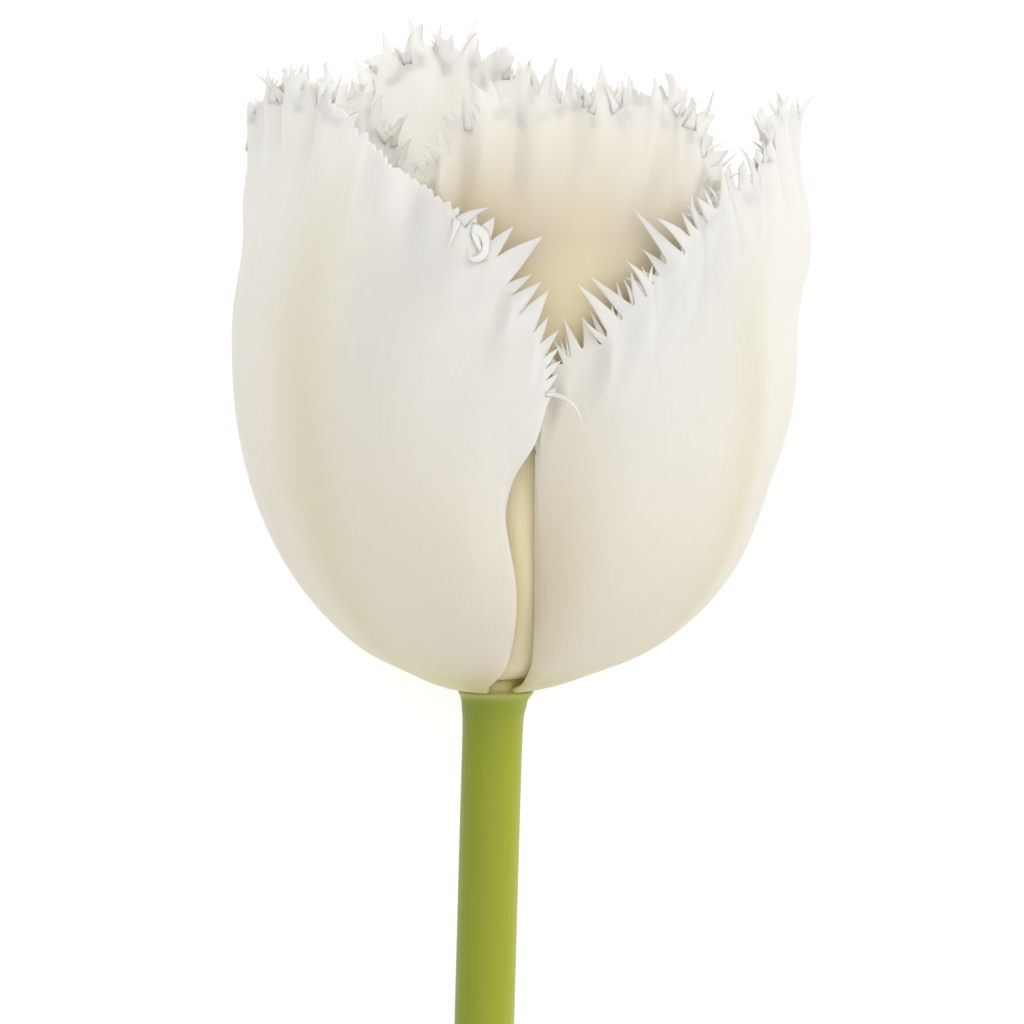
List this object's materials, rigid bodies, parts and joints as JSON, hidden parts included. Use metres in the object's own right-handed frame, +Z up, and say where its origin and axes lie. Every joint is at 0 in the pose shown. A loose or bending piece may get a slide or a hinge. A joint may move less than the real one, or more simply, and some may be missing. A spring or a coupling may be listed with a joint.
{
  "type": "fringed tulip",
  "caption": "Cut fringed tulip lying on its side: a cup of broad white petals with comb-like edges, stamens and pistil inside, on a bare green stem.",
  "frame": {"origin": "middle of the small flat spot on the back outer petal that the flower rests on, at table level", "axes": "+Z up from the table, +Y the way the bloom points, with the stem running back along -Y; +X to the bloom's right as seen from above with the bloom pointing away"},
  "size_m": [0.057, 0.2177, 0.0582],
  "materials": {
    "stem_green": "smooth living stalk, satin",
    "outer_tepal_white": "waxy translucent petal, white with a yellow-green middle",
    "inner_tepal_cream": "waxy translucent petal, cream towards the foot",
    "filament_cream": "smooth and fleshy",
    "anther_yellow": "powdery",
    "ovary_green": "smooth and fleshy",
    "stigma_cream": "velvety"
  },
  "bodies": {
    "root": {"stem": "stem_green", "outer_tepal_left": "outer_tepal_white", "outer_tepal_right": "outer_tepal_white", "outer_tepal_back": "outer_tepal_white", "inner_tepal_front": "inner_tepal_cream", "inner_tepal_back_left": "inner_tepal_cream", "inner_tepal_back_right": "inner_tepal_cream", "filament_1": "filament_cream", "filament_2": "filament_cream", "filament_3": "filament_cream", "filament_4": "filament_cream", "filament_5": "filament_cream", "filament_6": "filament_cream", "anther_1": "anther_yellow", "anther_2": "anther_yellow", "anther_3": "anther_yellow", "anther_4": "anther_yellow", "anther_5": "anther_yellow", "anther_6": "anther_yellow", "ovary": "ovary_green", "stigma": "stigma_cream"}
  },
  "joints": []
}
